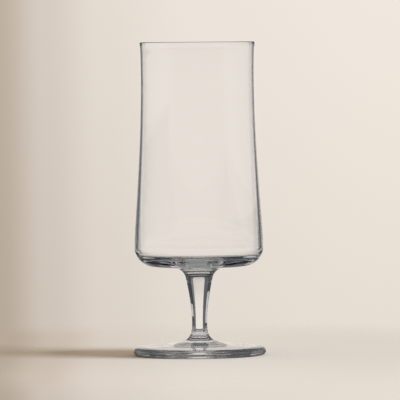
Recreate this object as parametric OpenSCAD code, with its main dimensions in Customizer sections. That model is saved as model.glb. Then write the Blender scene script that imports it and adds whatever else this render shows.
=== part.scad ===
// Stemmed pilsner glass: bowl, stem and foot in one piece of clear glass.
// The whole glass is one outline turned about the Z axis. The table is at Z = 0.

/* [Bowl] */
// Height of the bowl, from its underside to the rim
bowl_h = 127.5; // [110:0.5:150]
// Outside diameter at the rim
rim_d = 65.4; // [60:0.2:72]
// Outside diameter at the waist, where the bowl is narrowest
waist_d = 64.6; // [58:0.2:68]
// Distance from the rim down to the waist
waist_down = 19; // [12:1:36]
// Outside diameter at the belly, where the bowl is widest
belly_d = 73.6; // [70:0.2:84]
// Lean of the side just above the belly, in degrees from upright
side_lean = 3.4; // [1:0.2:6]
// Radius of the shoulder, which turns the side into the underside
shoulder_r = 11.5; // [8:0.5:14]
// Fall of the underside towards the stem, in degrees from level
underside_fall = 4.2; // [0:0.2:8]

/* [Wall] */
// Thickness of the wall at the rim, and down to the waist
rim_wall = 0.9; // [0.7:0.05:1.6]
// Thickness of the wall at the belly
belly_wall = 2.3; // [1.6:0.1:3.2]
// Thickness of the glass between the underside and the middle of the bowl's floor
floor_t = 4.9; // [4:0.1:8]
// Rise of the floor from its middle to where its corner starts
floor_dish = 0.4; // [0:0.1:2]
// How far the rounded inner corner reaches in from the wall
corner_w = 5; // [3:0.1:12]
// How far the rounded inner corner reaches up from the floor
corner_h = 3; // [2:0.1:7]

/* [Stem] */
// Height of the bowl's underside above the table
stem_h = 50.5; // [42:0.5:80]
// Radius of the collar, which turns the underside into the stem
collar_r = 7.3; // [3:0.1:9]
// Diameter of the stem where the collar ends
stem_top_d = 15.2; // [12:0.1:20]
// Lean of the stem's side where the collar ends, in degrees from upright
stem_taper = 11.5; // [6:0.5:24]
// Diameter of the neck, where the stem is narrowest
neck_d = 8.6; // [7:0.1:11]
// Height of the neck above the table
neck_z = 18.4; // [14:0.1:24]

/* [Foot] */
// Diameter of the foot
foot_d = 75.3; // [66:0.1:90]
// Height of the foot's rounded edge
edge_h = 4.8; // [3.6:0.1:6.5]
// Height of the place where the rounded edge is widest
edge_wide_z = 2.6; // [1.5:0.1:3.2]
// Rise of the foot's top from the edge towards the stem, in degrees from level
foot_slope = 5.6; // [3:0.2:9]
// Diameter of the flare where it runs out on the foot's top
flare_d = 41.6; // [34:0.2:52]
// Width of the flat ring that the glass stands on
rest_w = 3.2; // [1:0.1:5]
// Depth of the hollow in the underside of the foot
hollow_h = 2.5; // [0.4:0.1:3.4]

/* [Curves] */
// Pull of the belly on the side's curve, as a share of the curve's height
side_pull_belly = 0.27; // [0.15:0.01:0.5]
// Pull of the waist on the side's curve, as a share of the curve's height
side_pull_waist = 0.38; // [0.15:0.01:0.5]
// Pull of the collar on the stem's curve, as a share of the curve's height
stem_pull_top = 0.3; // [0.15:0.01:0.5]
// Pull of the neck on the stem's curve, as a share of the curve's height
stem_pull_neck = 0.36; // [0.15:0.01:0.5]
// Pull of the neck on the flare's curve, as a share of the curve's height
flare_pull_neck = 0.76; // [0.5:0.01:0.9]
// Pull of the foot's top on the flare's curve, as a share of the curve's width
flare_pull_foot = 0.87; // [0.5:0.01:0.9]
// Pull of the wall and the floor on the inner corner, as a share of its reach
corner_pull = 0.58; // [0.4:0.01:0.7]

/* [Hidden] */

// Steps along a long curve, and along a short rounding
curve_n = 24;
round_n = 10;
turn_n = 144;

height = stem_h + bowl_h;

// Unit vector at an angle from the level outward direction
function dir(a) = [cos(a), sin(a)];

// Points on an arc about c, from angle a0 to angle a1
function arc(c, r, a0, a1, n = round_n) = [for (i = [0:n]) c + r * dir(a0 + (a1 - a0) * i / n)];

// Points on a smooth curve that leaves p along p_pull and reaches q along q_pull
function curve(p, p_pull, q_pull, q, n = curve_n) = [
    for (i = [0:n])
        let (t = i / n, s = 1 - t)
        s * s * s * p + 3 * s * s * t * (p + p_pull) + 3 * s * t * t * (q + q_pull) + t * t * t * q
];

// The list without its first point, where it joins a list that ends on the same point
function rest_of(list) = [for (i = [1:len(list) - 1]) list[i]];

// The last point of a list, and the direction in which the list arrives there
function last(list) = list[len(list) - 1];
function arrival(list) =
    let (step = last(list) - list[len(list) - 2])
    step / norm(step);

// Hollow under the foot, from the axis out to the ring that the glass stands on
ring_r = foot_d / 2 - edge_wide_z - rest_w;
foot_hollow = [
    for (i = [0:round_n])
        let (t = i / round_n)
        [ring_r * t, hollow_h * (1 - t * t)]
];

// Rounded edge of the foot: a wide arc up from the resting ring, and a tighter one onto the foot's top
edge_top_r = edge_h - edge_wide_z;
edge_under = arc([foot_d / 2 - edge_wide_z, edge_wide_z], edge_wide_z, -90, 0);
edge_over = arc([foot_d / 2 - edge_top_r, edge_wide_z], edge_top_r, 0, 90 - foot_slope);

// Flare, from the foot's sloping top up to the neck
edge_top = last(edge_over);
flare_r = flare_d / 2;
flare_foot = [flare_r, edge_top[1] + (edge_top[0] - flare_r) * tan(foot_slope)];
neck = [neck_d / 2, neck_z];
flare = curve(
    flare_foot,
    dir(180 - foot_slope) * (flare_foot[0] - neck[0]) * flare_pull_foot,
    dir(-90) * (neck[1] - flare_foot[1]) * flare_pull_neck,
    neck
);

// Shoulder, from the underside out and up to the side
shoulder_c = [belly_d / 2 - shoulder_r, stem_h + shoulder_r];
shoulder = arc(shoulder_c, shoulder_r, underside_fall - 90, side_lean, curve_n);

// Collar, which touches the underside's slope and ends on the stem's side
collar_x = stem_top_d / 2 + collar_r * cos(stem_taper);
collar_top = dir(90 + underside_fall) * collar_r;
collar_run = shoulder[0][0] - collar_x - collar_top[0];
collar_c = [collar_x, shoulder[0][1] - collar_run * tan(underside_fall) - collar_top[1]];
collar = arc(collar_c, collar_r, 180 - stem_taper, 90 + underside_fall);

// Stem, from the neck up to the collar
stem_rise = collar[0][1] - neck[1];
stem = curve(
    neck,
    dir(90) * stem_rise * stem_pull_neck,
    dir(-90 - stem_taper) * stem_rise * stem_pull_top,
    collar[0]
);

// Side, from the shoulder up to the waist
waist = [waist_d / 2, height - waist_down];
side_foot = last(shoulder);
side_rise = waist[1] - side_foot[1];
side = curve(
    side_foot,
    dir(90 + side_lean) * side_rise * side_pull_belly,
    dir(-90) * side_rise * side_pull_waist,
    waist
);

// Mouth, which opens a little from the waist up to the rounded lip
lip_r = rim_wall / 2;
lip_c = [rim_d / 2 - lip_r, height - lip_r];
mouth_rise = lip_c[1] - waist[1];
mouth = [
    for (i = [0:round_n])
        let (t = i / round_n)
        [waist[0] + (rim_d - waist_d) / 2 * t * t, waist[1] + mouth_rise * t]
];
lip = arc(lip_c, lip_r, 0, 180);

// Inside of the bowl: the mouth and the side moved in by the wall, which thickens towards the belly
inner_mouth = [for (i = [round_n:-1:0]) mouth[i] - [rim_wall, 0]];
inner_side = [
    for (i = [curve_n:-1:0])
        let (t = 1 - i / curve_n)
        side[i] - [rim_wall + (belly_wall - rim_wall) * t * t, 0]
];

// Inner corner: the wall runs straight on down to the corner's height, and turns there onto the floor
side_end = last(inner_side);
floor_z = stem_h + floor_t;
corner_rise = min(corner_h, side_end[1] - floor_z - floor_dish);
wall_drop = side_end[1] - floor_z - floor_dish - corner_rise;
wall_dir = arrival(inner_side);
wall_foot = side_end - wall_dir / wall_dir[1] * wall_drop;
floor_r = wall_foot[0] - corner_w;
floor_edge = [floor_r, floor_z + floor_dish];
floor_lean = atan(2 * floor_dish / floor_r);
corner = curve(
    wall_foot,
    wall_dir * corner_rise * corner_pull,
    dir(floor_lean) * corner_w * corner_pull,
    floor_edge,
    round_n
);

// Floor, a shallow dish from the corner in to the axis
bowl_floor = [
    for (i = [0:round_n])
        let (t = 1 - i / round_n)
        [floor_r * t, floor_z + floor_dish * t * t]
];

outside = concat(foot_hollow, edge_under, rest_of(edge_over), flare, rest_of(stem), rest_of(collar),
    shoulder, rest_of(side), rest_of(mouth), rest_of(lip));
turn_in = wall_drop > 0 ? corner : rest_of(corner);
inside = concat(rest_of(inner_mouth), rest_of(inner_side), turn_in, rest_of(bowl_floor));

module pilsner_glass() {
    color([0.86, 0.9, 0.92, 0.4])
        rotate_extrude($fn = turn_n)
            polygon(concat(outside, inside));
}

pilsner_glass();
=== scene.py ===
# %% [markdown]
# # A clear pilsner glass
#
# The real glass is one piece: a tall bowl, a short pulled stem and a round foot, all of the same clear
# glass. Clear glass has no paint of its own. What the eye sees is its shape bending the light of the
# room, so this lesson spends its care on three things: a true solid with an inside and an outside, a
# glass material with the right strength of bend, and a studio whose bright and dark areas are placed
# as a photographer would place them.

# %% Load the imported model
import math

import bmesh
import bpy
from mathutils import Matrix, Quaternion, Vector


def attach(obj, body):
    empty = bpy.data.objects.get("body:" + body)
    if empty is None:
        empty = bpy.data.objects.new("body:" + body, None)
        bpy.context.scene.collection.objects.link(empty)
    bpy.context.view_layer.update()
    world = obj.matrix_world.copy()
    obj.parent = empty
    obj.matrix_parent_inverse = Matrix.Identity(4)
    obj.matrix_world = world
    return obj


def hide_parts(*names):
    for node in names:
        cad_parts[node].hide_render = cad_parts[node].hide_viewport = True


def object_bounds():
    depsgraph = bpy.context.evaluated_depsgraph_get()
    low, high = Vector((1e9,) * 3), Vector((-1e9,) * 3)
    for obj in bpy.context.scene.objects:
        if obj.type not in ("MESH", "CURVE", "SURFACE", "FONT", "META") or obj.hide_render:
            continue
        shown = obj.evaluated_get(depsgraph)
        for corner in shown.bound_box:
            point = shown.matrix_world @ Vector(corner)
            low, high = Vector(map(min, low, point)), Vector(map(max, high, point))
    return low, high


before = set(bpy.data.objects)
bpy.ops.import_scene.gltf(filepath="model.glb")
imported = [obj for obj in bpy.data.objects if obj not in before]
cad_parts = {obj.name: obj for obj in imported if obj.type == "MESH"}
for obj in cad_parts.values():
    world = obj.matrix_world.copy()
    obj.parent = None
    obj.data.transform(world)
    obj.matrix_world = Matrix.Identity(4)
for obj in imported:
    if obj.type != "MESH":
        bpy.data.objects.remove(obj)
cad_low, cad_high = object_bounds()
print("CAD box, mm:", [round(v * 1000, 3) for v in (*cad_low, *cad_high)])

# %% [markdown]
# ## Sizes
#
# A turned shape needs few numbers: some heights, some widths and a few roundings. They are kept in
# millimetres and degrees, as on a drawing, and only the finished mesh is scaled to metres. The width of
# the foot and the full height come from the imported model, so that the fine mesh made here fills the same
# box and never stands outside it.

# %% Sizes of the glass, in millimetres and degrees
MM = 0.001

full_h = cad_high.z / MM
foot_r = min(cad_high.x, cad_high.y, -cad_low.x, -cad_low.y) / MM

stem_h = 50.5
rim_r = 32.7
waist_r = 32.3
waist_down = 19
belly_r = 36.8
side_lean = 3.4
shoulder_r = 11.5
underside_fall = 4.2

rim_wall = 0.9
belly_wall = 2.3
floor_t = 4.9
floor_dish = 0.4
corner_w = 5
corner_h = 3

collar_r = 7.3
stem_top_r = 7.6
stem_taper = 11.5
neck_r = 4.3
neck_z = 18.4

edge_h = 4.8
edge_wide_z = 2.6
foot_slope = 5.6
flare_r = 20.8
rest_w = 3.2
hollow_h = 2.5

print("full height", round(full_h, 2), "mm, foot radius", round(foot_r, 3), "mm")

# %% [markdown]
# ## Pulls
#
# Each long curve is set by its two ends, its direction at each of them and how strongly each end pulls.
# A pull is a share of the curve's own height or width, so it needs no unit and still fits when a size
# changes. The outer ones were found by laying the outline over the edge in the photograph. The inner
# corner is hidden by the bending of the light, so its pull follows from the lines that it draws there.

# %% Pulls on the long curves
side_pull_belly, side_pull_waist = 0.27, 0.38
stem_pull_top, stem_pull_neck = 0.3, 0.36
flare_pull_neck, flare_pull_foot = 0.76, 0.87
corner_pull = 0.58

# %% [markdown]
# ## The outline
#
# A glass like this is round from every side, so half of its section says everything: one closed line
# that starts on the axis under the foot, runs up the outside, over the lip, down the inside and back to
# the axis on the bowl's floor. A modelling curve with handles would do, but arcs and smooth curves that
# are worked out from the sizes stay exact, and each run meets the next without a kink. That matters more
# in glass than in any other material, because a kink bends the light sharply and shows as a bright ring.

# %% Helpers that draw runs of points
def toward(angle):
    """Unit vector at an angle from the level outward direction."""
    a = math.radians(angle)
    return Vector((math.cos(a), math.sin(a)))


def arc(centre, radius, start, end, steps):
    """Points on an arc about a centre, from one angle to the other."""
    turn = end - start
    return [centre + radius * toward(start + turn * i / steps) for i in range(steps + 1)]


def curve(p, p_pull, q_pull, q, steps):
    """Points on a smooth curve that leaves p along p_pull and is pulled at q by q_pull."""
    points = []
    for i in range(steps + 1):
        t = i / steps
        s = 1 - t
        near = s * s * s * p + 3 * s * s * t * (p + p_pull)
        far = 3 * s * t * t * (q + q_pull) + t * t * t * q
        points.append(near + far)
    return points


# %% [markdown]
# ## The foot
#
# The foot is a thick round plate with a soft edge. Its underside is hollowed a little, so that the glass
# stands on a narrow ring and doesn't rock, and its top rises gently and then sweeps up into the stem in
# one flare. It is drawn from the axis outward underneath, round the edge and back in over the top.

# %% Outline of the foot
hollow_steps = 10
ring_r = foot_r - edge_wide_z - rest_w
hollow = []
for i in range(hollow_steps + 1):
    hollow.append(Vector((ring_r * i / hollow_steps, hollow_h * (1 - (i / hollow_steps) ** 2))))

edge_top_r = edge_h - edge_wide_z
edge_under = arc(Vector((foot_r - edge_wide_z, edge_wide_z)), edge_wide_z, -90, 0, 12)
edge_over = arc(Vector((foot_r - edge_top_r, edge_wide_z)), edge_top_r, 0, 90 - foot_slope, 12)

edge_top = edge_over[-1]
flare_z = edge_top.y + (edge_top.x - flare_r) * math.tan(math.radians(foot_slope))
flare_foot = Vector((flare_r, flare_z))
neck = Vector((neck_r, neck_z))
flare = curve(
    flare_foot,
    toward(180 - foot_slope) * (flare_r - neck_r) * flare_pull_foot,
    toward(-90) * (neck_z - flare_z) * flare_pull_neck,
    neck,
    36,
)
print("foot: rests on a ring of radius", round(ring_r, 2), "mm, flare starts at z", round(flare_z, 2))

# %% [markdown]
# ## The stem and the underside of the bowl
#
# The stem is narrowest low down and widens as it rises, then turns out through a small collar and runs
# into the bowl's underside. The underside is nearly level: it falls only a few degrees towards the stem.
# The collar is an arc that touches that slope, so its centre is worked out from the shoulder's arc.

# %% Outline of the stem, the collar and the shoulder
shoulder_c = Vector((belly_r - shoulder_r, stem_h + shoulder_r))
shoulder = arc(shoulder_c, shoulder_r, underside_fall - 90, side_lean, 28)

collar_x = stem_top_r + collar_r * math.cos(math.radians(stem_taper))
collar_top = toward(90 + underside_fall) * collar_r
collar_run = shoulder[0].x - collar_x - collar_top.x
collar_fall = collar_run * math.tan(math.radians(underside_fall))
collar_c = Vector((collar_x, shoulder[0].y - collar_fall - collar_top.y))
collar = arc(collar_c, collar_r, 180 - stem_taper, 90 + underside_fall, 16)

stem_rise = collar[0].y - neck_z
stem = curve(
    neck,
    toward(90) * stem_rise * stem_pull_neck,
    toward(-90 - stem_taper) * stem_rise * stem_pull_top,
    collar[0],
    24,
)
print("stem: from z", neck_z, "to", round(collar[0].y, 2), "mm, collar ends at", round(collar[-1].y, 2))

# %% [markdown]
# ## The side, the lip and the inside
#
# The side leans in from the belly to a waist below the rim and opens again by less than half a
# millimetre. The lip is melted round. The inside follows the outside, moved in by the wall, and the wall
# thickens on the way down, as it does when a glass is blown in a mould and the weight sinks to the base.
# The inner corner is rounded, and the floor is a thick, slightly dished disc.

# %% Outline of the side and the lip
side_steps = 24
waist = Vector((waist_r, full_h - waist_down))
side_foot = shoulder[-1]
side_rise = waist.y - side_foot.y
side = curve(
    side_foot,
    toward(90 + side_lean) * side_rise * side_pull_belly,
    toward(-90) * side_rise * side_pull_waist,
    waist,
    side_steps,
)

lip_r = rim_wall / 2
lip_c = Vector((rim_r - lip_r, full_h - lip_r))
mouth_steps = 6
mouth = []
for i in range(mouth_steps + 1):
    t = i / mouth_steps
    mouth.append(waist + Vector(((rim_r - waist_r) * t * t, (lip_c.y - waist.y) * t)))
lip = arc(lip_c, lip_r, 0, 180, 12)
print("side: from z", round(side_foot.y, 2), "up to the waist at", round(waist.y, 2), "mm")

# %% Outline of the inside
inner_mouth = [p - Vector((rim_wall, 0)) for p in reversed(mouth)]

inner_side = []
for i in reversed(range(side_steps + 1)):
    t = 1 - i / side_steps
    wall = rim_wall + (belly_wall - rim_wall) * t * t
    inner_side.append(side[i] - Vector((wall, 0)))

floor_z = stem_h + floor_t
corner_z = floor_z + floor_dish + corner_h
wall_dir = (inner_side[-1] - inner_side[-2]).normalized()
wall_drop = inner_side[-1].y - corner_z
wall_foot = inner_side[-1] - wall_dir / wall_dir.y * wall_drop

floor_r = wall_foot.x - corner_w
floor_edge = Vector((floor_r, floor_z + floor_dish))
floor_lean = math.degrees(math.atan(2 * floor_dish / floor_r))
corner = curve(
    wall_foot,
    wall_dir * corner_h * corner_pull,
    toward(floor_lean) * corner_w * corner_pull,
    floor_edge,
    20,
)

floor_steps = 8
bowl_floor = []
for i in range(floor_steps + 1):
    t = 1 - i / floor_steps
    bowl_floor.append(Vector((floor_r * t, floor_z + floor_dish * t * t)))
print("inside: floor at z", round(floor_z, 2), "mm, its corner starts", round(floor_r, 2), "mm out")

# %% [markdown]
# ## Turning the outline
#
# The runs are joined into one line, and points that fall on the one before are dropped. The line is then
# turned about the upright axis. The screw modifier could do this, but it leaves two poles of thin
# triangles with doubled points; a short loop gives rings of even faces, a single point at each pole and
# a mesh that is closed, which a glass material needs in order to know where the glass starts and ends.

# %% Join the runs
least_step = 0.02
outline = []
for run in (hollow, edge_under, edge_over, flare, stem, collar, shoulder, side, mouth, lip,
            inner_mouth, inner_side, corner, bowl_floor):
    for point in run:
        if not outline or (point - outline[-1]).length > least_step:
            outline.append(point)
print("outline:", len(outline), "points")

# %% Turn the outline about the axis
turn_steps = 400


def turned(name, points, steps):
    """A closed mesh made by turning points about Z, with one vertex where the line meets the axis."""
    shape = bmesh.new()
    rings = []
    for point in points:
        if point.x < 1e-6:
            rings.append([shape.verts.new((0, 0, point.y * MM))])
            continue
        ring = []
        for k in range(steps):
            a = 2 * math.pi * k / steps
            place = (point.x * math.cos(a), point.x * math.sin(a), point.y)
            ring.append(shape.verts.new([v * MM for v in place]))
        rings.append(ring)
    for lower, upper in zip(rings, rings[1:]):
        for k in range(steps):
            n = (k + 1) % steps
            corners = [lower[k % len(lower)], lower[n % len(lower)],
                       upper[n % len(upper)], upper[k % len(upper)]]
            shape.faces.new(list(dict.fromkeys(corners)))
    bmesh.ops.recalc_face_normals(shape, faces=shape.faces)
    mesh = bpy.data.meshes.new(name)
    shape.to_mesh(mesh)
    shape.free()
    mesh.shade_smooth()
    made = bpy.data.objects.new(name, mesh)
    bpy.context.scene.collection.objects.link(made)
    return made


glass = turned("blown_glass", outline, turn_steps)
mesh = glass.data
print("mesh:", len(mesh.vertices), "points,", sum(len(p.vertices) - 2 for p in mesh.polygons), "triangles")

# %% [markdown]
# ## The material
#
# Clear glass is a dielectric: it lets light in, bends it and reflects a little. The physical shader does
# this with transmission at one and an index of refraction of about one and a half. Its colour is almost
# white: a trace of noise lets it wander by one part in a hundred, as a real melt does. A rough or wavy
# surface was left out, because the real one is fire polished and as smooth as a lens. The glass isn't
# made see-through by mixing in a transparent shader, since that would bend nothing and hide the form.

# %% Helpers for node materials
def new_material(name):
    material = bpy.data.materials.new(name)
    material.use_nodes = True
    material.node_tree.nodes.clear()
    return material


def add_node(tree, kind, **values):
    """Adds a node and sets its properties, or its input sockets where the name is one of those."""
    node = tree.nodes.new(kind)
    for key, value in values.items():
        label = key.replace("_", " ")
        if label in node.inputs:
            node.inputs[label].default_value = value
        else:
            setattr(node, key, value)
    return node


# %% Clear glass
bend_index = 1.51

clear = new_material("clear_glass")
tree = clear.node_tree
link = tree.links.new
out = add_node(tree, "ShaderNodeOutputMaterial")
shader = add_node(tree, "ShaderNodeBsdfPrincipled", Roughness=0.0, IOR=bend_index)
shader.inputs["Transmission Weight"].default_value = 1.0
where = add_node(tree, "ShaderNodeTexCoord")
tint_noise = add_node(tree, "ShaderNodeTexNoise", Scale=30.0, Detail=2.0)
tint = add_node(tree, "ShaderNodeMix", data_type="RGBA")
tint.inputs[6].default_value = (0.984, 0.986, 0.986, 1)
tint.inputs[7].default_value = (0.995, 0.996, 0.996, 1)
link(where.outputs["Object"], tint_noise.inputs["Vector"])
link(tint_noise.outputs["Fac"], tint.inputs[0])
link(tint.outputs[2], shader.inputs["Base Color"])
link(shader.outputs[0], out.inputs["Surface"])
glass.data.materials.append(clear)
print("material:", clear.name, "with an index of refraction of", bend_index)

# %% [markdown]
# ## In the model's place
#
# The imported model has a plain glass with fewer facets. The fine one rides on the same body, so it would
# move with it, and takes its place in the picture. It could also be laid over the plain one, but two
# clear skins in one place would bend the light twice.

# %% Put the fine glass in the model's place
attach(glass, "root")
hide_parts("pilsner_glass")
print("the fine glass stands for pilsner_glass")

# %% [markdown]
# ## The paper's shading
#
# The paper isn't evenly lit: it is brightest at the right and falls off to a warm shade at the far left.
# A colour ramp along X holds that shading. The floor and the backdrop each get one, and at the seam the
# two come to the same colour. The floor's ramp rises less to the right, where the low lamp adds its own
# light. A picture of paper could do the same, but a ramp stays smooth and can be set in a moment.

# %% Helpers that shade the paper from left to right
shade_half = 0.1136


def shaded(tree, value_socket, start, end, stops):
    """A colour that follows a value from start to end, by stops of a place from 0 to 1 and a colour."""
    along = add_node(tree, "ShaderNodeMapRange")
    along.inputs["From Min"].default_value = start
    along.inputs["From Max"].default_value = end
    tree.links.new(value_socket, along.inputs["Value"])
    ramp = add_node(tree, "ShaderNodeValToRGB")
    ramp.color_ramp.interpolation = "EASE"
    ramp.color_ramp.elements.remove(ramp.color_ramp.elements[1])
    for i, (place, colour) in enumerate(stops):
        stop = ramp.color_ramp.elements.new(place) if i else ramp.color_ramp.elements[0]
        stop.position = place
        stop.color = (*colour, 1)
    tree.links.new(along.outputs[0], ramp.inputs[0])
    return ramp.outputs[0]


def times(tree, colour_socket, colour):
    """A colour socket multiplied by a fixed colour."""
    mixed = add_node(tree, "ShaderNodeMix", data_type="RGBA", blend_type="MULTIPLY")
    mixed.inputs[0].default_value = 1.0
    mixed.inputs[7].default_value = (*colour, 1)
    tree.links.new(colour_socket, mixed.inputs[6])
    return mixed.outputs[2]


# %% [markdown]
# ## What only the glass sees
#
# Clear glass shows its form where it bends light from somewhere dark. So a studio hides part of the set
# from the glass with dark boards beside it. Under it, a glow of painted light and shade on the floor does
# the same. The light path node tells a straight look, and the light that falls on the paper, from a look
# through the glass.

# %% Helper that tells a look through the glass
def seen_in_glass(tree, path):
    """One for a ray that looks through the glass or at its gloss, and zero for the rest."""
    either = add_node(tree, "ShaderNodeMath", operation="MAXIMUM")
    tree.links.new(path.outputs["Is Glossy Ray"], either.inputs[0])
    tree.links.new(path.outputs["Is Transmission Ray"], either.inputs[1])
    early = add_node(tree, "ShaderNodeMath", operation="LESS_THAN")
    tree.links.new(path.outputs["Diffuse Depth"], early.inputs[0])
    early.inputs[1].default_value = 0.5
    both = add_node(tree, "ShaderNodeMath", operation="MULTIPLY")
    tree.links.new(either.outputs[0], both.inputs[0])
    tree.links.new(early.outputs[0], both.inputs[1])
    return both.outputs[0]


# %% [markdown]
# ## The floor
#
# The floor is a plain pale sheet. It is a disc that fades out before its edge, so that it melts into the
# backdrop with no horizon line, as a curved paper sweep does in a studio. Seen through the glass it shows
# instead a small round glow of painted light and shade in rings, in place of the shaded floor under the
# glass: pale in the middle, nearly black under the foot's edge, and grey around it. The black ring draws
# the foot's thick edge, and the grey one the slab of glass under the bowl.

# %% Floor
floor_radius = 0.36

floor_mesh = bpy.data.meshes.new("studio_floor")
shape = bmesh.new()
bmesh.ops.create_circle(shape, cap_ends=True, segments=96, radius=floor_radius)
shape.to_mesh(floor_mesh)
shape.free()
studio_floor = bpy.data.objects.new("studio_floor", floor_mesh)
bpy.context.scene.collection.objects.link(studio_floor)
print("floor: a disc of radius", floor_radius, "m")


# %% Helpers that ease a value and blend two shaders
def ease(tree, value_socket, start, end):
    """Zero up to the start, one from the end on, and smooth between."""
    node = add_node(tree, "ShaderNodeMapRange", interpolation_type="SMOOTHSTEP")
    node.inputs["From Min"].default_value = start
    node.inputs["From Max"].default_value = end
    tree.links.new(value_socket, node.inputs["Value"])
    return node.outputs[0]


def blend(tree, share, first, second):
    """Mixes two shaders by a share, which is a socket."""
    mix = add_node(tree, "ShaderNodeMixShader")
    tree.links.new(share, mix.inputs[0])
    tree.links.new(first, mix.inputs[1])
    tree.links.new(second, mix.inputs[2])
    return mix.outputs[0]


# %% The floor's paper
fade_start, fade_end = 0.16, 0.34

paper = new_material("pale_paper")
paper.cycles.emission_sampling = "NONE"
tree = paper.node_tree
link = tree.links.new
out = add_node(tree, "ShaderNodeOutputMaterial")
where = add_node(tree, "ShaderNodeTexCoord")
split = add_node(tree, "ShaderNodeSeparateXYZ")
length = add_node(tree, "ShaderNodeVectorMath", operation="LENGTH")
path = add_node(tree, "ShaderNodeLightPath")
link(where.outputs["Object"], split.inputs[0])
link(where.outputs["Object"], length.inputs[0])
away = length.outputs["Value"]

diffuse = add_node(tree, "ShaderNodeBsdfDiffuse")
paper_tint = (0.965, 0.976, 0.948)
floor_stops = (
    (0.0, (0.66, 0.60, 0.54)),
    (0.12, (0.82, 0.775, 0.735)),
    (0.26, (0.955, 0.935, 0.92)),
    (0.5, (1, 1, 1)),
    (1.0, (0.95, 0.94, 0.93)),
)
shade = shaded(tree, split.outputs["X"], -shade_half, shade_half, floor_stops)
link(times(tree, shade, paper_tint), diffuse.inputs["Color"])
gone = add_node(tree, "ShaderNodeBsdfTransparent")
sheet = blend(tree, ease(tree, away, fade_start, fade_end), diffuse.outputs[0], gone.outputs[0])
print("paper: whole up to", fade_start, "m from the axis, gone at", fade_end, "m")

# %% Painted light and shade under the glass
# Painted light and shade: glowing rings that only looks through the glass see, in place of the shaded
# floor under the foot.
painted_rings_end, painted_rings_fade = 0.085, 0.012
painted_light_rings = (
    (0.0, (0.58, 0.565, 0.545)),
    (0.021, (0.58, 0.565, 0.545)),
    (0.031, (0.15, 0.15, 0.153)),
    (0.0376, (0.015, 0.015, 0.015)),
    (0.046, (0.0, 0.0, 0.0)),
    (0.055, (0.24, 0.24, 0.245)),
    (painted_rings_end, (0.17, 0.17, 0.173)),
)
painted_ring_stops = tuple((ring / painted_rings_end, colour) for ring, colour in painted_light_rings)
painted_ring_glow = add_node(tree, "ShaderNodeEmission", Strength=1.0)
link(shaded(tree, away, 0, painted_rings_end, painted_ring_stops), painted_ring_glow.inputs["Color"])
painted_rings_gone = ease(tree, away, painted_rings_end - painted_rings_fade, painted_rings_end)
painted_floor_light = blend(tree, painted_rings_gone, painted_ring_glow.outputs[0], gone.outputs[0])
link(blend(tree, seen_in_glass(tree, path), sheet, painted_floor_light), out.inputs["Surface"])
floor_mesh.materials.append(paper)
print("cloth: rings at", [ring for ring, colour in painted_light_rings], "m")

# %% [markdown]
# ## The room
#
# The room around the table is three things at once. The camera sees a cream wall. The paper gets a soft
# fill light from it that is warmer, as light is that has bounced between pale walls, so the lamp's shadow
# comes out brown. The glass finds a dim room, and in it the light cards that follow below; so does the
# paper where it looks up through the glass, which darkens it in a thin line under the foot. One room
# for all three would be simpler, but it would make the glass as pale as the paper and lose its edges.

# %% Room
cream = (0.791, 0.730, 0.651, 1)
warm_fill = (0.45, 0.352, 0.272, 1)
dim_grey = (0.05, 0.055, 0.062, 1)

world = bpy.data.worlds.new("studio_room")
bpy.context.scene.world = world
world.use_nodes = True
world.cycles.sampling_method = "NONE"
tree = world.node_tree
tree.nodes.clear()
link = tree.links.new
out = add_node(tree, "ShaderNodeOutputWorld")
bright = add_node(tree, "ShaderNodeBackground", Color=cream, Strength=1.0)
soft_fill = add_node(tree, "ShaderNodeBackground", Color=warm_fill, Strength=1.0)
dim = add_node(tree, "ShaderNodeBackground", Color=dim_grey, Strength=1.0)
path = add_node(tree, "ShaderNodeLightPath")
room = blend(tree, path.outputs["Is Diffuse Ray"], dim.outputs[0], soft_fill.outputs[0])
link(blend(tree, path.outputs["Is Camera Ray"], room, bright.outputs[0]), out.inputs["Surface"])
print("room: fill light on the paper", warm_fill[:3], "and the glass's room", dim_grey[:3])

# %% [markdown]
# ## The camera
#
# The photograph was taken with a long lens from the height of the rim, so the rim shows as a plain line.
# The camera stands 2.8 m away and looks slightly down, and it leans by half a degree. The lens follows
# from the width that the picture takes in at the glass, and not the other way round.

# %% Camera
camera_far = 2.8
camera_h = 0.178
camera_lean = -0.52
picture_w = 0.2271

lens = bpy.data.cameras.new("camera")
lens.sensor_width = 36
lens.lens = 36 * camera_far / picture_w
lens.clip_start = 0.05
lens.clip_end = 50
camera = bpy.data.objects.new("camera", lens)
bpy.context.scene.collection.objects.link(camera)
bpy.context.scene.camera = camera
aim = Vector((0.00085, 0, 0.0882))
camera.location = (0, -camera_far, camera_h)
camera.rotation_mode = "QUATERNION"
look = (aim - camera.location).to_track_quat("-Z", "Y")
camera.rotation_quaternion = look @ Quaternion((0, 0, 1), math.radians(camera_lean))
bpy.context.view_layer.update()
drop = (camera.location.z - aim.z) / camera_far
print("the camera looks down by", round(math.degrees(math.atan(drop)), 2), "degrees")

# %% [markdown]
# ## The backdrop
#
# A sheet stands far behind the glass. It glows for the camera only, a little brighter above than below,
# with the same shading from left to right as the floor. A lit wall would need lamps of its own, and their
# light would fall on the floor too. Being farther away, the sheet and its shading are made wider.
#
# The camera also goes round the glass. The sheet is clear from behind, so it never hides the glass, and
# it is larger than the picture and fades at its edges, so no edge shows from a little higher or aside.

# %% Helper that makes a flat sheet
def flat_sheet(name, low=(-1, -1), high=(1, 1)):
    """A flat sheet between two corners, in its own units, as a new mesh object."""
    shape = bmesh.new()
    for x, y in (low, (high[0], low[1]), high, (low[0], high[1])):
        shape.verts.new((x, y, 0))
    shape.faces.new(shape.verts)
    mesh = bpy.data.meshes.new(name)
    shape.to_mesh(mesh)
    shape.free()
    made = bpy.data.objects.new(name, mesh)
    bpy.context.scene.collection.objects.link(made)
    return made


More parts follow.
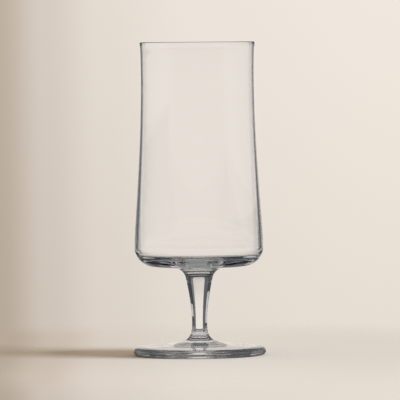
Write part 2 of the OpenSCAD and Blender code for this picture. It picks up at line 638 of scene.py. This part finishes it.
# %% Backdrop
backdrop_far = 1.5
backdrop_z = 0.05
backdrop_half_w, backdrop_half_h = 0.22, 0.26
backdrop_low, backdrop_high = (-1.45, -4.7), (1.45, 2.1)
spread = (camera_far + backdrop_far) / camera_far

backdrop = flat_sheet("backdrop", backdrop_low, backdrop_high)
backdrop.location = (0, backdrop_far, backdrop_z)
backdrop.rotation_euler = (math.pi / 2, 0, 0)
backdrop.scale = (backdrop_half_w, backdrop_half_h, 1)
backdrop.visible_diffuse = False
backdrop.visible_glossy = False
backdrop.visible_transmission = False
backdrop.visible_shadow = False
print("backdrop: shading spread by", round(spread, 3), "so that it lines up with the floor's")

# %% Backdrop's glow
glow = new_material("backdrop")
glow.cycles.emission_sampling = "NONE"
tree = glow.node_tree
link = tree.links.new
out = add_node(tree, "ShaderNodeOutputMaterial")
where = add_node(tree, "ShaderNodeTexCoord")
split = add_node(tree, "ShaderNodeSeparateXYZ")
link(where.outputs["Object"], split.inputs[0])
backdrop_stops = (
    (0.0, (0.62, 0.56, 0.50)),
    (0.12, (0.806, 0.78, 0.755)),
    (0.26, (0.93, 0.912, 0.905)),
    (0.5, (1, 1, 1)),
    (1.0, (1.04, 1.035, 1.03)),
)
shade_end = shade_half * spread / backdrop_half_w
shade = shaded(tree, split.outputs["X"], -shade_end, shade_end, backdrop_stops)
rise = ease(tree, split.outputs["Y"], -0.75, 0.85)
tone = add_node(tree, "ShaderNodeMix", data_type="RGBA")
tone.inputs[6].default_value = (0.761, 0.698, 0.627, 1)
tone.inputs[7].default_value = (0.843, 0.78, 0.713, 1)
link(rise, tone.inputs[0])
both = add_node(tree, "ShaderNodeMix", data_type="RGBA", blend_type="MULTIPLY")
both.inputs[0].default_value = 1.0
link(shade, both.inputs[6])
link(tone.outputs[2], both.inputs[7])
light = add_node(tree, "ShaderNodeEmission", Strength=1.0)
link(both.outputs[2], light.inputs["Color"])

# %% Backdrop's soft edges and clear back
gone = add_node(tree, "ShaderNodeBsdfTransparent")
aside = add_node(tree, "ShaderNodeMath", operation="ABSOLUTE")
link(split.outputs["X"], aside.inputs[0])
edges = (
    (aside.outputs[0], 0.86, 1.4),
    (split.outputs["Y"], 1.0, 2.0),
    (split.outputs["Y"], -2.2, -4.6),
)
shown = light.outputs[0]
for along, start, end in edges:
    shown = blend(tree, ease(tree, along, start, end), shown, gone.outputs[0])
side = add_node(tree, "ShaderNodeNewGeometry")
link(blend(tree, side.outputs["Backfacing"], shown, gone.outputs[0]), out.inputs["Surface"])
backdrop.data.materials.append(glow)
print("backdrop: the picture ends at", round(shade_end, 3), "of its unit, and it fades from", edges[0][1])

# %% [markdown]
# ## Light cards
#
# A bright panel behind the glass gives the clear middle, and its ends are where the dark edges begin. It
# is less bright higher up, and under it a dim card darkens the thick floor of the bowl. Dark boards stand
# at both ends of the panel, nearer than it, and draw the lines along the walls and the stem. Grey cards
# at the sides and in front lay one even, soft gloss over the bowl. All of them hang on the camera, as
# they would round a turntable, so the glass is lit the same way from every side. Only looks through the
# glass, or at its gloss, see them.

# %% Helper that hangs a sheet on the camera
def hang(made, across, height, far):
    """Hangs a sheet round the glass: degrees from straight behind, then heights and distance in metres."""
    middle = math.radians((across[0] + across[1]) / 2)
    half = far * math.tan(math.radians((across[1] - across[0]) / 2))
    right = far * math.sin(middle)
    behind = far * math.cos(middle)
    up = (height[0] + height[1]) / 2 - aim.z + drop * behind
    made.parent = camera
    made.location = (right, up, -(camera_far + behind))
    made.rotation_euler = (0, -middle, 0)
    made.scale = (half, (height[1] - height[0]) / 2, 1)
    made.visible_camera = False
    made.visible_diffuse = False
    made.visible_shadow = False
    made.visible_volume_scatter = False


# %% Helper that makes a card's glow
def card_glow(name, colour, soft):
    """A glow that only looks through the glass see, and that fades near the edges by two shares."""
    glow = new_material(name)
    glow.cycles.emission_sampling = "NONE"
    tree = glow.node_tree
    link = tree.links.new
    out = add_node(tree, "ShaderNodeOutputMaterial")
    light = add_node(tree, "ShaderNodeEmission", Color=(*colour, 1), Strength=1.0)
    gone = add_node(tree, "ShaderNodeBsdfTransparent")
    where = add_node(tree, "ShaderNodeTexCoord")
    split = add_node(tree, "ShaderNodeSeparateXYZ")
    path = add_node(tree, "ShaderNodeLightPath")
    link(where.outputs["Object"], split.inputs[0])
    share = seen_in_glass(tree, path)
    for axis, edge in zip("XY", soft):
        from_middle = add_node(tree, "ShaderNodeMath", operation="ABSOLUTE")
        link(split.outputs[axis], from_middle.inputs[0])
        inner = add_node(tree, "ShaderNodeMath", operation="SUBTRACT")
        inner.inputs[0].default_value = 1.0
        link(ease(tree, from_middle.outputs[0], 1 - edge, 1), inner.inputs[1])
        both = add_node(tree, "ShaderNodeMath", operation="MULTIPLY")
        link(share, both.inputs[0])
        link(inner.outputs[0], both.inputs[1])
        share = both.outputs[0]
    link(blend(tree, share, gone.outputs[0], light.outputs[0]), out.inputs["Surface"])
    return glow


# %% Helper that makes a card
def card(name, across, height, far, colour, soft):
    """A card of one colour, hung on the camera at its place round the glass; left is minus."""
    made = flat_sheet(name)
    hang(made, across, height, far)
    made.data.materials.append(card_glow(name, colour, soft))
    return made


# %% Light cards
panel = card("card_back", (-34, 27), (-0.28, 0.94), 1.3, (0.865, 0.797, 0.727), (0.01, 0.03))
panel_top = card("card_back_top", (-34, 27), (0.14, 1.0), 1.28, (0.66, 0.61, 0.56), (0.01, 0.4))
low_card = card("card_low", (-62, 62), (-0.7, -0.14), 0.85, (0.24, 0.245, 0.252), (0.01, 0.03))
left_board = card("card_left_board", (-36, -17), (-0.4, 0.49), 0.6, (0.115, 0.125, 0.137), (0.03, 0.03))
right_board = card("card_right_board", (20, 30), (-0.5, 0.41), 0.57, (0.2, 0.204, 0.212), (0.03, 0.03))
left_card = card("card_left", (-125, -38), (-0.03, 0.235), 0.7, (0.61, 0.588, 0.562), (0.03, 0.08))
right_card = card("card_right", (38, 132), (0.07, 0.23), 0.98, (0.61, 0.593, 0.57), (0.03, 0.08))
front_card = card("card_front", (115, 245), (-0.06, 0.3), 0.66, (0.52, 0.5, 0.475), (0.12, 0.05))
cards = (panel, panel_top, low_card, left_board, right_board, left_card, right_card, front_card)
print("cards:", [one.name for one in cards])

# %% [markdown]
# ## The low lamp
#
# A wide lamp stands low at the right and a little in front. It lights the paper at a grazing angle, so
# the thick foot draws a long shadow to the left, and because the lamp is wide the shadow is soft from the
# start. The glass itself shows no reflection of it. A sun would give a hard, even shadow instead.

# %% Low lamp
lamp_far = 4.0
lamp_side = math.radians(24)
lamp_up = math.radians(3.6)
lamp_data = bpy.data.lights.new("low_lamp", "AREA")
lamp_data.shape = "RECTANGLE"
lamp_data.size = 2.8
lamp_data.size_y = 0.2
lamp_data.energy = 1050
lamp_data.color = (0.9, 0.945, 1.0)
lamp = bpy.data.objects.new("low_lamp", lamp_data)
bpy.context.scene.collection.objects.link(lamp)
level = lamp_far * math.cos(lamp_up)
lamp.location = (level * math.cos(lamp_side), -level * math.sin(lamp_side), lamp_far * math.sin(lamp_up))
lamp.rotation_mode = "QUATERNION"
lamp.rotation_quaternion = (-lamp.location).to_track_quat("-Z", "Y")
lamp.visible_camera = False
lamp.visible_glossy = False
lamp.visible_transmission = False
print("lamp at", [round(v, 2) for v in lamp.location], "m")

# %% [markdown]
# ## Picture settings
#
# The colours are shown as they were made, with no film curve over them, so that the pale paper stays
# pale. Light that crosses a glass goes in and out of many surfaces, and each of them counts as a bounce:
# with too few, the thick parts would turn black. The denoiser clears the grain that bent light leaves.

# %% Picture settings
scene = bpy.context.scene
scene.view_settings.view_transform = "Standard"
scene.cycles.use_denoising = True
scene.cycles.max_bounces = 32
scene.cycles.transmission_bounces = 32
scene.cycles.glossy_bounces = 16
scene.cycles.transparent_max_bounces = 16
scene.cycles.caustics_reflective = True
scene.cycles.caustics_refractive = True
print("bounces:", scene.cycles.max_bounces)
